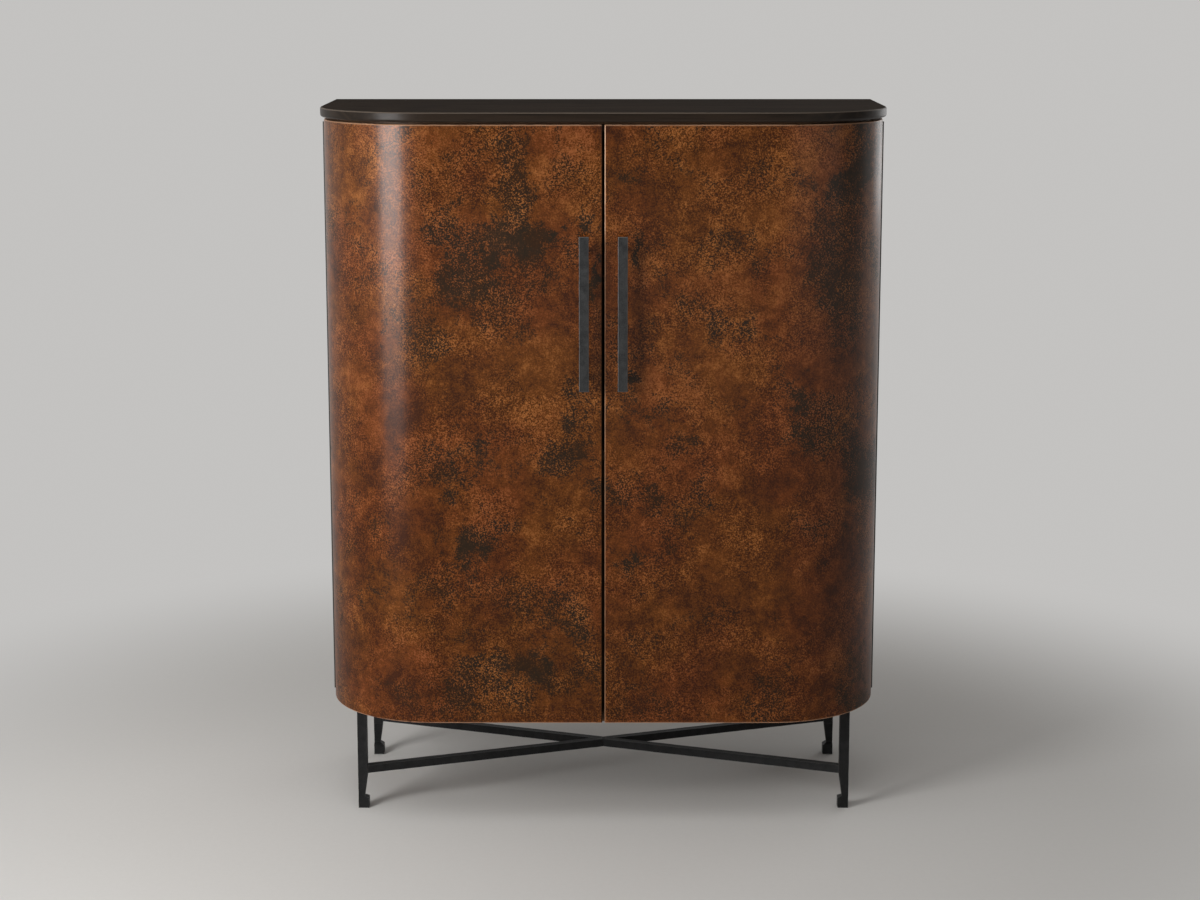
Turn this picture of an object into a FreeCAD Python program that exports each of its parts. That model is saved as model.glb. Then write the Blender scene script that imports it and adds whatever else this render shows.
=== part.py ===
import FreeCAD, Part
import math
import os
from types import SimpleNamespace

import Sketcher
from FreeCAD import Placement, Rotation, Vector

# Bar armoire: a copper-clad cabinet with two wrap-round doors on a forged iron stand.
# Millimetres, front towards -Y, up +Z, origin under the middle of the whole piece.

lengths = {
    # whole cabinet
    "overall_height": 1422,
    "body_depth": 489,
    "corner_radius": 220,
    # top slab
    "slab_width": 1130,
    "slab_thickness": 19,
    "slab_overhang": 7,
    "slab_top_ease": 3,
    "slab_under_ease": 5,
    # doors and side panels
    "door_underside": 207.5,
    "door_top_gap": 4.5,
    "door_thickness": 20,
    "door_clearance": 3,
    "meeting_gap": 4,
    "skin_thickness": 1.5,
    "skin_fold": 2.5,
    "hinge_edge": 5,
    # continuous hinges
    "leaf_thickness": 1.5,
    "leaf_play": 0.6,
    "leaf_setback": 3.5,
    "leaf_neck": 2,
    "knuckle_radius": 3.2,
    "knuckle_gap": 0.5,
    "hinge_pin_radius": 1.6,
    "hinge_bore_clearance": 0.05,
    "hinge_pin_proud": 0.8,
    "hinge_end_inset": 7,
    # handles
    "handle_length": 302,
    "handle_width": 20,
    "handle_thickness": 8,
    "handle_standoff": 26,
    "handle_ease": 1.5,
    "handle_from_seam": 37.5,
    "handle_drop": 211.5,
    "handle_post_radius": 6,
    "handle_post_inset": 28,
    # stand
    "stand_clearance": 3,
    "leg_section": 20,
    "leg_side_setback": 66,
    "leg_front_setback": 93,
    "leg_spacing": 345,
    "leg_taper_top": 70,
    "leg_ankle": 14,
    "leg_ease": 1.2,
    "foot_width": 22,
    "foot_height": 26,
    "foot_bevel": 5,
    "rail_thickness": 6,
    "stretcher_section": 16.5,
    "stretcher_underside": 74,
    "rivet_radius": 4,
    "rivet_clearance": 0.05,
    "cutter_margin": 6,
    # inner boards
    "panel_thickness": 20,
    "sub_top_thickness": 19,
    "back_thickness": 12,
    "shelf_ease": 1.5,
    "counter_top_height": 760,
    "upper_shelf_height": 1100,
    "upper_shelf_thickness": 16,
    "upper_shelf_setback": 70,
    "divider_thickness": 18,
    "divider_setback": 40,
    "rack_board_thickness": 12,
    "rack_depth": 250,
    "loose_shelf_height": 480,
    "loose_shelf_thickness": 18,
    "loose_shelf_play": 0.6,
    "loose_shelf_setback": 60,
    # shelf pins in their rows of holes
    "pin_radius": 2.45,
    "pin_hole_clearance": 0.05,
    "pin_hole_depth": 9,
    "pin_stand_out": 8,
    "pin_seat_gap": 0.1,
    "pin_row_pitch": 32,
    "pin_front_setback": 40,
    "pin_rear_setback": 40,
    # stemware rails
    "stem_rail_pitch": 105,
    "stem_slot_width": 32,
    "stem_flange_thickness": 6,
    "stem_web_width": 22,
    "stem_web_height": 14,
    "stem_rail_setback": 12,
    # magnetic catches
    "catch_length": 46,
    "catch_depth": 32,
    "catch_height": 14,
    "catch_from_seam": 14,
    "catch_air": 0.3,
    "strike_thickness": 1.2,
    "strike_drop": 22,
}

knuckle_pair_count = 12
stem_rail_count = 7
pin_row_count = 5
pin_row_used = 2

doc = FreeCAD.newDocument("bar_armoire")
sheet = doc.addObject("Spreadsheet::Sheet", "Sizes")
for row, (alias, number) in enumerate(lengths.items(), start=1):
    sheet.set(f"A{row}", alias)
    sheet.set(f"B{row}", str(number))
    sheet.setAlias(f"B{row}", alias)
doc.recompute()


class Size:
    """A length read from the sheet or worked out from it: its value and its expression."""

    def __init__(self, text, value):
        self.text = text
        self.value = value

    def __add__(self, other):
        other = as_size(other)
        return Size(f"({self.text} + {other.text})", self.value + other.value)

    def __sub__(self, other):
        other = as_size(other)
        return Size(f"({self.text} - {other.text})", self.value - other.value)

    def __mul__(self, other):
        other = as_size(other)
        return Size(f"({self.text} * {other.text})", self.value * other.value)

    def __truediv__(self, other):
        other = as_size(other)
        return Size(f"({self.text} / {other.text})", self.value / other.value)

    def __neg__(self):
        return Size(f"(-1 * {self.text})", -self.value)

    def __radd__(self, other):
        return as_size(other) + self

    def __rsub__(self, other):
        return as_size(other) - self

    def __rmul__(self, other):
        return as_size(other) * self


def as_size(number):
    return number if isinstance(number, Size) else Size(repr(number), number)


def root(size):
    return Size(f"sqrt({size.text})", math.sqrt(size.value))


given = SimpleNamespace(**{name: Size(f"Sizes.{name}", float(number)) for name, number in lengths.items()})
floor = as_size(0)
middle = as_size(0)
pieces = []


def bind(thing, path, size):
    thing.setExpression(path, as_size(size).text)


def keep(thing, label):
    thing.Label = label
    pieces.append(thing)
    return thing


def new_body(label):
    body = doc.addObject("PartDesign::Body", label)
    body.Label = label
    return body


def new_sketch(body, name, plane, level):
    """A sketch across one axis, at the given place along that axis."""
    sketch = body.newObject("Sketcher::SketchObject", f"{body.Name}_{name}")
    support = next(item for item in body.Origin.OriginFeatures if item.Role == plane)
    sketch.AttachmentSupport = [(support, "")]
    sketch.MapMode = "FlatFace"
    level = as_size(level)
    bind(sketch, "AttachmentOffset.Base.z", -level if plane == "XZ_Plane" else level)
    return sketch


def fix(sketch, constraint, size):
    index = sketch.addConstraint(constraint)
    bind(sketch, f"Constraints[{index}]", size)


def draw_outline(sketch, corners):
    """Closed outline. A corner is (x, y), or (x, y, centre_x, centre_y, radius, turn) after an arc."""
    corners = [tuple(as_size(item) for item in corner[:5]) + tuple(corner[5:]) for corner in corners]
    edges = []
    for start, end in zip(corners[-1:] + corners[:-1], corners):
        first = Vector(start[0].value, start[1].value, 0)
        last = Vector(end[0].value, end[1].value, 0)
        if len(end) == 2:
            index = sketch.addGeometry(Part.LineSegment(first, last), False)
            edges.append((index, 1, 2))
            continue
        centre = Vector(end[2].value, end[3].value, 0)
        circle = Part.Circle(centre, Vector(0, 0, 1), end[4].value)
        begin = math.atan2(first.y - centre.y, first.x - centre.x)
        finish = math.atan2(last.y - centre.y, last.x - centre.x)
        if end[5] == "left":
            index = sketch.addGeometry(Part.ArcOfCircle(circle, begin, finish), False)
            edges.append((index, 1, 2))
        else:
            index = sketch.addGeometry(Part.ArcOfCircle(circle, finish, begin), False)
            edges.append((index, 2, 1))
    for place, corner in enumerate(corners):
        index, _, last = edges[place]
        follower, first, _ = edges[(place + 1) % len(edges)]
        sketch.addConstraint(Sketcher.Constraint("Coincident", index, last, follower, first))
        fix(sketch, Sketcher.Constraint("DistanceX", -1, 1, index, last, corner[0].value), corner[0])
        fix(sketch, Sketcher.Constraint("DistanceY", -1, 1, index, last, corner[1].value), corner[1])
        if len(corner) > 2:
            fix(sketch, Sketcher.Constraint("Radius", index, corner[4].value), corner[4])


def draw_circle(sketch, x, y, radius):
    x, y, radius = as_size(x), as_size(y), as_size(radius)
    circle = Part.Circle(Vector(x.value, y.value, 0), Vector(0, 0, 1), radius.value)
    index = sketch.addGeometry(circle, False)
    fix(sketch, Sketcher.Constraint("DistanceX", -1, 1, index, 3, x.value), x)
    fix(sketch, Sketcher.Constraint("DistanceY", -1, 1, index, 3, y.value), y)
    fix(sketch, Sketcher.Constraint("Radius", index, radius.value), radius)


def rectangle(x_low, x_high, y_low, y_high):
    return [(x_low, y_low), (x_high, y_low), (x_high, y_high), (x_low, y_high)]


def faces_back(sketch):
    return sketch.AttachmentSupport[0][0].Role == "XZ_Plane"


def pad(body, sketch, length):
    """Grow the sketch towards the positive end of its axis."""
    feature = body.newObject("PartDesign::Pad", f"{sketch.Name}_pad")
    feature.Profile = sketch
    feature.Reversed = faces_back(sketch)
    bind(feature, "Length", length)
    doc.recompute()
    return feature


def pocket(body, sketch, length):
    """Cut the sketch away towards the positive end of its axis."""
    before = body.Shape.Volume
    feature = body.newObject("PartDesign::Pocket", f"{sketch.Name}_pocket")
    feature.Profile = sketch
    feature.Reversed = not faces_back(sketch)
    bind(feature, "Length", length)
    doc.recompute()
    if not body.Shape.Volume < before:
        raise RuntimeError(f"{feature.Name} cuts nothing away")
    return feature


def ease(body, feature, kind, size, chosen):
    """Round or bevel the edges that the test picks."""
    names = [f"Edge{i}" for i, edge in enumerate(feature.Shape.Edges, start=1) if chosen(edge)]
    if not names:
        raise RuntimeError(f"{body.Label}: no edge to ease")
    eased = body.newObject(f"PartDesign::{kind}", f"{feature.Name}_{kind.lower()}")
    eased.Base = (feature, names)
    bind(eased, "Radius" if kind == "Fillet" else "Size", size)
    doc.recompute()
    return eased


def mid_point(edge):
    return edge.valueAt((edge.FirstParameter + edge.LastParameter) / 2)


def near(first, second):
    return abs(first - second) < given.cutter_margin.value / 1000


def is_upright(edge):
    extent = edge.BoundBox
    return near(extent.XMin, extent.XMax) and near(extent.YMin, extent.YMax)


def board(name, x_low, x_high, y_low, y_high, z_low, z_high):
    thing = doc.addObject("Part::Box", name)
    bind(thing, "Length", x_high - x_low)
    bind(thing, "Width", y_high - y_low)
    bind(thing, "Height", z_high - z_low)
    bind(thing, "Placement.Base.x", x_low)
    bind(thing, "Placement.Base.y", y_low)
    bind(thing, "Placement.Base.z", z_low)
    return thing


turns = {
    "up": Rotation(),
    "right": Rotation(Vector(0, 1, 0), 90),
    "forward": Rotation(Vector(1, 0, 0), 90),
}


def rod(name, radius, length, x, y, z, heading):
    thing = doc.addObject("Part::Cylinder", name)
    thing.Placement = Placement(Vector(), turns[heading])
    bind(thing, "Radius", radius)
    bind(thing, "Height", length)
    bind(thing, "Placement.Base.x", x)
    bind(thing, "Placement.Base.y", y)
    bind(thing, "Placement.Base.z", z)
    return thing


def mirrored(name, source, axis, place):
    """The same piece on the other side of an upright plane across X or Y."""
    thing = doc.addObject("Part::Mirroring", name)
    thing.Source = source
    thing.Normal = Vector(1, 0, 0) if axis == "x" else Vector(0, 1, 0)
    bind(thing, f"Base.{axis}", place)
    return thing


def cut(name, base, tool):
    thing = doc.addObject("Part::Cut", name)
    thing.Base = base
    thing.Tool = tool
    return thing


def together(name, things):
    thing = doc.addObject("Part::Compound", name)
    thing.Links = things
    return thing


# lines that several pieces share
half_body = given.slab_width / 2 - given.slab_overhang
back_y = (given.body_depth + given.handle_standoff + given.handle_thickness) / 2
face_y = back_y - given.body_depth
slab_under = given.overall_height - given.slab_thickness
door_top = slab_under - given.door_top_gap
carcass_under = given.door_underside - given.stand_clearance
carcass_floor = carcass_under + given.panel_thickness
sub_top_under = slab_under - given.sub_top_thickness
counter_under = given.counter_top_height - given.panel_thickness
wrap = given.door_thickness + given.door_clearance
half_inner = half_body - wrap
inner_front = face_y + wrap
inner_back = back_y - given.back_thickness
inner_corner = given.corner_radius - wrap
half_hinge_gap = given.leaf_thickness + given.leaf_play / 2
door_end_y = face_y + given.corner_radius
hinge_y = door_end_y + half_hinge_gap
side_front_y = hinge_y + half_hinge_gap
corner_x = half_body - given.corner_radius


def rounded_board(name, half, front, back, corner, under, thickness):
    """A board with two large round front corners and square back corners."""
    body = new_body(name)
    sketch = new_sketch(body, "outline", "XY_Plane", under)
    bend = half - corner
    arc_y = front + corner
    draw_outline(sketch, [
        (-half, back),
        (-half, arc_y),
        (-bend, front, -bend, arc_y, corner, "left"),
        (bend, front),
        (half, arc_y, bend, arc_y, corner, "left"),
        (half, back),
    ])
    return body, pad(body, sketch, thickness)


def ease_rim(body, feature, level, back, size):
    """Round the front and side edges of a board at one level."""
    def on_rim(edge):
        place = edge.BoundBox
        level_edge = near(place.ZMin, level.value) and near(place.ZMax, level.value)
        return level_edge and not near(place.YMin, back.value)
    return ease(body, feature, "Fillet", size, on_rim)


# top slab, sub-top and the shelves that follow the same plan
slab, slab_pad = rounded_board("top_slab", given.slab_width / 2, face_y - given.slab_overhang, back_y,
                               given.corner_radius + given.slab_overhang, slab_under, given.slab_thickness)
slab_eased = ease_rim(slab, slab_pad, given.overall_height, back_y, given.slab_top_ease)
ease_rim(slab, slab_eased, slab_under, back_y, given.slab_under_ease)
keep(slab, "top_slab")

sub_top, _ = rounded_board("sub_top", half_inner, inner_front, inner_back, inner_corner,
                           sub_top_under, given.sub_top_thickness)
keep(sub_top, "sub_top")

bottom, bottom_pad = rounded_board("bottom_panel", half_inner, inner_front, inner_back, inner_corner,
                                   carcass_under, given.panel_thickness)
ease_rim(bottom, bottom_pad, carcass_floor, inner_back, given.shelf_ease)
keep(bottom, "bottom_panel")

counter, counter_pad = rounded_board("counter_shelf", half_inner, inner_front, inner_back, inner_corner,
                                     counter_under, given.panel_thickness)
counter_eased = ease_rim(counter, counter_pad, given.counter_top_height, inner_back, given.shelf_ease)
ease_rim(counter, counter_eased, counter_under, inner_back, given.shelf_ease)
keep(counter, "counter_shelf")

upper_under = given.upper_shelf_height - given.upper_shelf_thickness
upper_front = inner_front + given.upper_shelf_setback
upper, upper_pad = rounded_board("upper_shelf", half_inner, upper_front, inner_back,
                                 inner_corner - given.upper_shelf_setback, upper_under,
                                 given.upper_shelf_thickness)
upper_eased = ease_rim(upper, upper_pad, given.upper_shelf_height, inner_back, given.shelf_ease)
ease_rim(upper, upper_eased, upper_under, inner_back, given.shelf_ease)
keep(upper, "upper_shelf")

keep(board("back_panel", -half_inner, half_inner, inner_back, back_y, carcass_under, slab_under),
     "back_panel")


# doors: a bent core inside a copper pan whose edges fold over it
door = new_body("left_door_form")
door_plan = new_sketch(door, "plan", "XY_Plane", given.door_underside)
meeting_x = -given.meeting_gap / 2
inner_bend = given.corner_radius - given.door_thickness
draw_outline(door_plan, [
    (meeting_x, face_y),
    (-corner_x, face_y),
    (-half_body, door_end_y, -corner_x, door_end_y, given.corner_radius, "right"),
    (-half_body + given.door_thickness, door_end_y),
    (-corner_x, face_y + given.door_thickness, -corner_x, door_end_y, inner_bend, "left"),
    (meeting_x, face_y + given.door_thickness),
])
door_pad = pad(door, door_plan, door_top - given.door_underside)


def on_hinge_edge(edge):
    place = mid_point(edge)
    return is_upright(edge) and near(place.x, -half_body.value) and near(place.y, door_end_y.value)


def on_door_fold(edge):
    place = mid_point(edge)
    at_end = near(edge.BoundBox.ZMin, edge.BoundBox.ZMax)
    reach = math.hypot(place.x + corner_x.value, place.y - door_end_y.value)
    inside = near(reach, inner_bend.value) or near(place.y, (face_y + given.door_thickness).value)
    meeting = is_upright(edge) and near(place.x, meeting_x.value) and near(place.y, face_y.value)
    return meeting or (at_end and not inside)


door_hinged = ease(door, door_pad, "Fillet", given.hinge_edge, on_hinge_edge)
ease(door, door_hinged, "Fillet", given.skin_fold, on_door_fold)

core = new_body("left_door_core")
core_plan = new_sketch(core, "plan", "XY_Plane", given.door_underside + given.skin_thickness)
core_face = face_y + given.skin_thickness
core_end = door_end_y - given.skin_thickness
core_bend = given.corner_radius - given.skin_thickness
outer_span = root(core_bend * core_bend - given.skin_thickness * given.skin_thickness)
inner_span = root(inner_bend * inner_bend - given.skin_thickness * given.skin_thickness)
draw_outline(core_plan, [
    (meeting_x - given.skin_thickness, core_face),
    (-corner_x, core_face),
    (-corner_x - outer_span, core_end, -corner_x, door_end_y, core_bend, "right"),
    (-corner_x - inner_span, core_end),
    (-corner_x, face_y + given.door_thickness, -corner_x, door_end_y, inner_bend, "left"),
    (meeting_x - given.skin_thickness, face_y + given.door_thickness),
])
core_pad = pad(core, core_plan, door_top - given.door_underside - 2 * given.skin_thickness)
core_hinge_x = -corner_x - outer_span


def on_core_hinge_edge(edge):
    place = mid_point(edge)
    return is_upright(edge) and near(place.x, core_hinge_x.value) and near(place.y, core_end.value)


ease(core, core_pad, "Fillet", given.hinge_edge - given.skin_thickness, on_core_hinge_edge)
keep(core, "left_door_core")
door_skin = keep(cut("left_door_skin", door, core), "left_door_skin")
keep(mirrored("right_door_core", core, "x", middle), "right_door_core")
keep(mirrored("right_door_skin", door_skin, "x", middle), "right_door_skin")


# side panels: the same pan and core, flat
side = new_body("left_side_form")
side_plan = new_sketch(side, "plan", "XY_Plane", given.door_underside)
draw_outline(side_plan, rectangle(-half_body, -half_inner, side_front_y, back_y))
side_pad = pad(side, side_plan, door_top - given.door_underside)


def on_side_front_edge(edge):
    place = mid_point(edge)
    return is_upright(edge) and near(place.x, -half_body.value) and near(place.y, side_front_y.value)


def on_side_fold(edge):
    place = mid_point(edge)
    at_end = near(edge.BoundBox.ZMin, edge.BoundBox.ZMax) and not near(place.x, -half_inner.value)
    rear = is_upright(edge) and near(place.x, -half_body.value) and near(place.y, back_y.value)
    return at_end or rear


side_hinged = ease(side, side_pad, "Fillet", given.hinge_edge, on_side_front_edge)
ease(side, side_hinged, "Fillet", given.skin_fold, on_side_fold)

panel = new_body("left_side_panel")
panel_plan = new_sketch(panel, "plan", "XY_Plane", given.door_underside + given.skin_thickness)
panel_front = side_front_y + given.skin_thickness
panel_outer = -half_body + given.skin_thickness
draw_outline(panel_plan, rectangle(panel_outer, -half_inner, panel_front, back_y - given.skin_thickness))
panel_pad = pad(panel, panel_plan, door_top - given.door_underside - 2 * given.skin_thickness)


def on_panel_front_edge(edge):
    place = mid_point(edge)
    return is_upright(edge) and near(place.x, panel_outer.value) and near(place.y, panel_front.value)


ease(panel, panel_pad, "Fillet", given.hinge_edge - given.skin_thickness, on_panel_front_edge)
keep(panel, "left_side_panel")
side_skin = keep(cut("left_side_skin", side, panel), "left_side_skin")
keep(mirrored("right_side_skin", side_skin, "x", middle), "right_side_skin")


# rows of shelf pin holes in the right side panel and the divider
half_divider = given.divider_thickness / 2
pin_axis = given.loose_shelf_height - given.loose_shelf_thickness - given.pin_seat_gap - given.pin_radius
pin_rows = {
    "front": side_front_y + given.pin_front_setback,
    "rear": inner_back - given.pin_rear_setback,
}
hole_from = half_divider - given.pin_hole_depth
hole_length = half_inner - half_divider + 2 * given.pin_hole_depth
drills = []
for row_name, row_y in pin_rows.items():
    for step in range(pin_row_count):
        height = pin_axis + (step - pin_row_used) * given.pin_row_pitch
        drills.append(rod(f"pin_drill_{row_name}_{step}", given.pin_radius + given.pin_hole_clearance,
                          hole_length, hole_from, row_y, height, "right"))
drill_set = together("pin_drills", drills)
right_panel = mirrored("right_side_blank", panel, "x", middle)
keep(cut("right_side_panel", right_panel, drill_set), "right_side_panel")
divider_front = inner_front + given.divider_setback
divider_blank = board("divider_blank", -half_divider, half_divider, divider_front, inner_back,
                      carcass_floor, counter_under)
keep(cut("lower_divider", divider_blank, drill_set), "lower_divider")

shelf_low = given.loose_shelf_height - given.loose_shelf_thickness
shelf_left = half_divider + given.loose_shelf_play
shelf_right = half_inner - given.loose_shelf_play
shelf_front = inner_front + given.loose_shelf_setback
shelf_back = inner_back - given.loose_shelf_play
shelf_corner = inner_corner - given.loose_shelf_setback
shelf_bend = shelf_right - shelf_corner
loose_shelf = new_body("adjustable_shelf")
shelf_plan = new_sketch(loose_shelf, "plan", "XY_Plane", shelf_low)
draw_outline(shelf_plan, [
    (shelf_left, shelf_front),
    (shelf_bend, shelf_front),
    (shelf_right, shelf_front + shelf_corner, shelf_bend, shelf_front + shelf_corner, shelf_corner, "left"),
    (shelf_right, shelf_back),
    (shelf_left, shelf_back),
])
pad(loose_shelf, shelf_plan, given.loose_shelf_thickness)
keep(loose_shelf, "adjustable_shelf")
pin_play = given.pin_hole_clearance
pin_length = given.pin_hole_depth - pin_play + given.pin_stand_out
pins = []
for row_name, row_y in pin_rows.items():
    pins.append(rod(f"divider_pin_{row_name}", given.pin_radius, pin_length,
                    half_divider - given.pin_hole_depth + pin_play, row_y, pin_axis, "right"))
    pins.append(rod(f"side_pin_{row_name}", given.pin_radius, pin_length,
                    half_inner - given.pin_stand_out, row_y, pin_axis, "right"))
keep(together("shelf_pins", pins), "shelf_pins")


def lapped_bar(name, plane, own, other, start, thickness, notch_start):
    """A straight bar with a notch that takes half of the bar crossing it."""
    body = new_body(name)
    outline = new_sketch(body, "outline", plane, start)
    draw_outline(outline, own)
    pad(body, outline, thickness)
    notch = new_sketch(body, "notch", plane, notch_start)
    draw_outline(notch, other)
    pocket(body, notch, thickness / 2)
    return body


# crossed bottle rack in the lower left bay
rack_left = -half_inner
rack_right = -half_divider
rack_width = rack_right - rack_left
rack_height = counter_under - carcass_floor
rack_diagonal = root(rack_width * rack_width + rack_height * rack_height)
tip_x = given.rack_board_thickness * rack_diagonal / (2 * rack_height)
tip_z = given.rack_board_thickness * rack_diagonal / (2 * rack_width)
rising = [
    (rack_left, carcass_floor),
    (rack_left + tip_x, carcass_floor),
    (rack_right, counter_under - tip_z),
    (rack_right, counter_under),
    (rack_right - tip_x, counter_under),
    (rack_left, carcass_floor + tip_z),
]
falling = [
    (rack_right, carcass_floor),
    (rack_right, carcass_floor + tip_z),
    (rack_left + tip_x, counter_under),
    (rack_left, counter_under),
    (rack_left, counter_under - tip_z),
    (rack_right - tip_x, carcass_floor),
]
rack_front = inner_back - given.rack_depth
keep(lapped_bar("rack_board_rising", "XZ_Plane", rising, falling, rack_front, given.rack_depth, rack_front),
     "rack_board_rising")
keep(lapped_bar("rack_board_falling", "XZ_Plane", falling, rising, rack_front, given.rack_depth,
                rack_front + given.rack_depth / 2), "rack_board_falling")


# stemware rails under the upper shelf
half_flange = (given.stem_rail_pitch - given.stem_slot_width) / 2
half_web = given.stem_web_width / 2
web_low = upper_under - given.stem_web_height
flange_low = web_low - given.stem_flange_thickness
stem_front = upper_front + given.stem_rail_setback
for number in range(stem_rail_count):
    rail_x = (number - (stem_rail_count - 1) / 2) * given.stem_rail_pitch
    stem_rail = new_body(f"stemware_rail_{number + 1}")
    tee = new_sketch(stem_rail, "tee", "XZ_Plane", stem_front)
    draw_outline(tee, [
        (rail_x - half_flange, flange_low),
        (rail_x + half_flange, flange_low),
        (rail_x + half_flange, web_low),
        (rail_x + half_web, web_low),
        (rail_x + half_web, upper_under),
        (rail_x - half_web, upper_under),
        (rail_x - half_web, web_low),
        (rail_x - half_flange, web_low),
    ])
    pad(stem_rail, tee, inner_back - stem_front)
    keep(stem_rail, f"stemware_rail_{number + 1}")


# continuous hinges: two leaves with alternating knuckles on one long pin
pin_x = -half_body - given.hinge_pin_proud
hinge_low = given.door_underside + given.hinge_end_inset
hinge_length = door_top - given.door_underside - 2 * given.hinge_end_inset
knuckle_pitch = hinge_length / knuckle_pair_count
knuckle_length = knuckle_pitch / 2 - given.knuckle_gap
plate_edge = pin_x + given.leaf_setback
plate_inner = -half_body + given.door_thickness


def hinge_leaf(name, inner_y, outer_y, first_knuckle):
    body = new_body(name)
    plate = new_sketch(body, "plate", "XY_Plane", hinge_low)
    draw_outline(plate, rectangle(plate_edge, plate_inner, inner_y, outer_y))
    pad(body, plate, hinge_length)
    neck = new_sketch(body, "neck", "XY_Plane", first_knuckle)
    draw_outline(neck, rectangle(pin_x + given.leaf_neck, plate_edge + given.leaf_neck, inner_y, outer_y))
    neck_pad = pad(body, neck, knuckle_length)
    barrel = new_sketch(body, "barrel", "XY_Plane", first_knuckle)
    draw_circle(barrel, pin_x, hinge_y, given.knuckle_radius)
    barrel_pad = pad(body, barrel, knuckle_length)
    row = body.newObject("PartDesign::LinearPattern", f"{name}_row")
    row.Originals = [neck_pad, barrel_pad]
    upright = next(item for item in body.Origin.OriginFeatures if item.Role == "Z_Axis")
    row.Direction = (upright, [""])
    row.Mode = "Spacing"
    row.Occurrences = knuckle_pair_count
    bind(row, "Offset", knuckle_pitch)
    body.Tip = row
    doc.recompute()
    bore = new_sketch(body, "bore", "XY_Plane", hinge_low - given.cutter_margin)
    draw_circle(bore, pin_x, hinge_y, given.hinge_pin_radius + given.hinge_bore_clearance)
    pocket(body, bore, hinge_length + 2 * given.cutter_margin)
    return keep(body, name)


first_gap = given.knuckle_gap / 2
door_leaf = hinge_leaf("left_hinge_door_leaf", hinge_y - given.leaf_play / 2, door_end_y,
                       hinge_low + first_gap)
frame_leaf = hinge_leaf("left_hinge_frame_leaf", hinge_y + given.leaf_play / 2, side_front_y,
                        hinge_low + first_gap + knuckle_pitch / 2)
pin_rod = rod("left_hinge_pin", given.hinge_pin_radius, hinge_length, pin_x, hinge_y, hinge_low, "up")
hinge_pin = keep(pin_rod, "left_hinge_pin")
keep(mirrored("right_hinge_door_leaf", door_leaf, "x", middle), "right_hinge_door_leaf")
keep(mirrored("right_hinge_frame_leaf", frame_leaf, "x", middle), "right_hinge_frame_leaf")
keep(mirrored("right_hinge_pin", hinge_pin, "x", middle), "right_hinge_pin")


# handles: a flat forged bar on two posts
handle_x = -given.handle_from_seam
handle_low_end = door_top - given.handle_drop - given.handle_length
bar_back = face_y - given.handle_standoff
handle = new_body("left_handle_bar")
handle_face = new_sketch(handle, "face", "XZ_Plane", bar_back - given.handle_thickness)
draw_outline(handle_face, rectangle(handle_x - given.handle_width / 2, handle_x + given.handle_width / 2,
                                    handle_low_end, handle_low_end + given.handle_length))
handle_pad = pad(handle, handle_face, given.handle_thickness)
ease(handle, handle_pad, "Fillet", given.handle_ease, lambda edge: True)
keep(handle, "left_handle_bar")
keep(mirrored("right_handle_bar", handle, "x", middle), "right_handle_bar")
post_heights = {
    "lower": handle_low_end + given.handle_post_inset,
    "upper": handle_low_end + given.handle_length - given.handle_post_inset,
}
for end, height in post_heights.items():
    post = rod(f"left_handle_post_{end}", given.handle_post_radius, given.handle_standoff,
               handle_x, face_y, height, "forward")
    keep(post, f"left_handle_post_{end}")
    keep(mirrored(f"right_handle_post_{end}", post, "x", middle), f"right_handle_post_{end}")


# magnetic catches under the sub-top and their strike plates on the doors
catch_right = -given.catch_from_seam
catch_left = catch_right - given.catch_length
door_inside = face_y + given.door_thickness
strike_face = door_inside + given.strike_thickness
catch_front = strike_face + given.catch_air
catch = keep(board("left_catch", catch_left, catch_right, catch_front, catch_front + given.catch_depth,
                   sub_top_under - given.catch_height, sub_top_under), "left_catch")
keep(mirrored("right_catch", catch, "x", middle), "right_catch")
strike = keep(board("left_strike_plate", catch_left, catch_right, door_inside, strike_face,
                    sub_top_under - given.strike_drop, sub_top_under), "left_strike_plate")
keep(mirrored("right_strike_plate", strike, "x", middle), "right_strike_plate")


# iron stand: legs with an inward toe, top rails and a crossed stretcher
half_leg = given.leg_section / 2
leg_from_middle = half_body - given.leg_side_setback
leg_outer_x = -leg_from_middle - half_leg
leg_outer_y = face_y + given.leg_front_setback - half_leg
stand_middle_y = face_y + given.leg_front_setback + given.leg_spacing / 2
leg = new_body("front_left_leg")
leg_side = new_sketch(leg, "front_view", "XZ_Plane", leg_outer_y)
draw_outline(leg_side, [
    (leg_outer_x, floor),
    (leg_outer_x, carcass_under),
    (leg_outer_x + given.leg_section, carcass_under),
    (leg_outer_x + given.leg_section, given.leg_taper_top),
    (leg_outer_x + given.leg_ankle, given.foot_height),
    (leg_outer_x + given.foot_width, given.foot_height - given.foot_bevel),
    (leg_outer_x + given.foot_width, floor),
])
pad(leg, leg_side, given.foot_width)
leg_cut = new_sketch(leg, "side_view", "YZ_Plane", leg_outer_x - given.cutter_margin)
cut_over = leg_outer_y + given.foot_width + given.cutter_margin
cut_top = carcass_under + given.cutter_margin
draw_outline(leg_cut, [
    (leg_outer_y + given.leg_section, cut_top),
    (leg_outer_y + given.leg_section, given.leg_taper_top),
    (leg_outer_y + given.leg_ankle, given.foot_height),
    (leg_outer_y + given.foot_width, given.foot_height - given.foot_bevel),
    (cut_over, given.foot_height - given.foot_bevel),
    (cut_over, cut_top),
])
leg_shaped = pocket(leg, leg_cut, given.foot_width + 2 * given.cutter_margin)


def on_leg_corner(edge):
    place = mid_point(edge)
    return is_upright(edge) and near(place.x, leg_outer_x.value) and near(place.y, leg_outer_y.value)


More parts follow.
